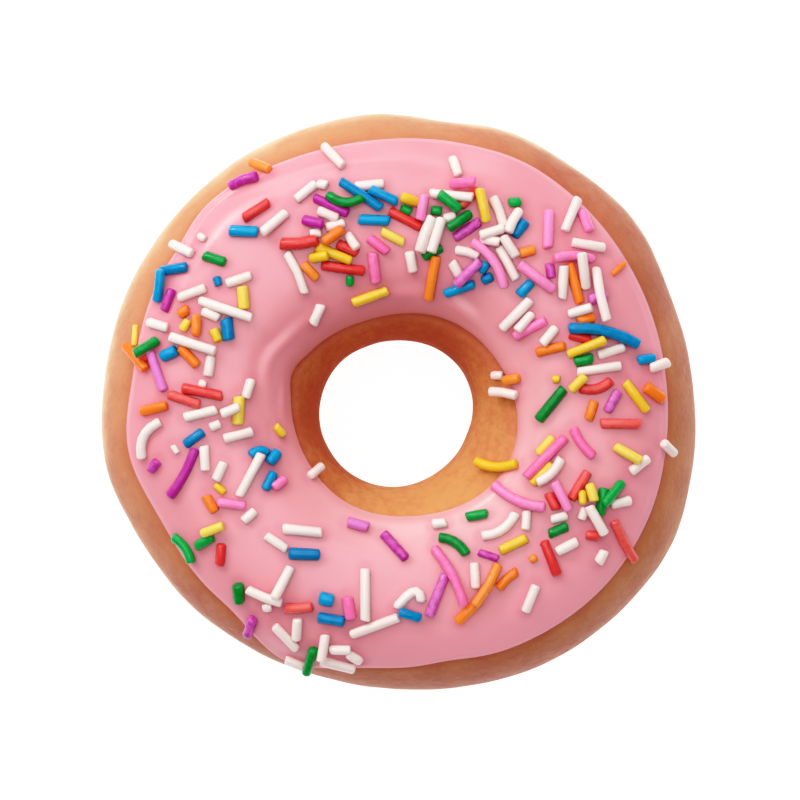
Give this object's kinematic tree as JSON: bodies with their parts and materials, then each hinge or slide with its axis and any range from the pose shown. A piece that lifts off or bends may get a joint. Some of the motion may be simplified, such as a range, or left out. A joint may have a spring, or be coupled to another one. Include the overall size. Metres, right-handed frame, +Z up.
{
  "type": "sprinkle frosted doughnut",
  "caption": "Fried ring doughnut, its upper half set with pink icing under a scatter of short coloured rod sprinkles.",
  "frame": {"origin": "on the surface that the ring rests on, under the middle of its outline", "axes": "+Z up, from the bare underside to the iced crown; +X to the right and +Y away from someone who looks down on the icing"},
  "size_m": [0.0914, 0.0885, 0.0321],
  "materials": {
    "dough": "satin",
    "icing": "satin",
    "sprinkle_white": "satin",
    "sprinkle_pink": "satin",
    "sprinkle_red": "satin",
    "sprinkle_orange": "satin",
    "sprinkle_yellow": "satin",
    "sprinkle_green": "satin",
    "sprinkle_blue": "satin",
    "sprinkle_purple": "satin"
  },
  "bodies": {
    "root": {"dough": "dough", "icing": "icing"}
  },
  "joints": []
}
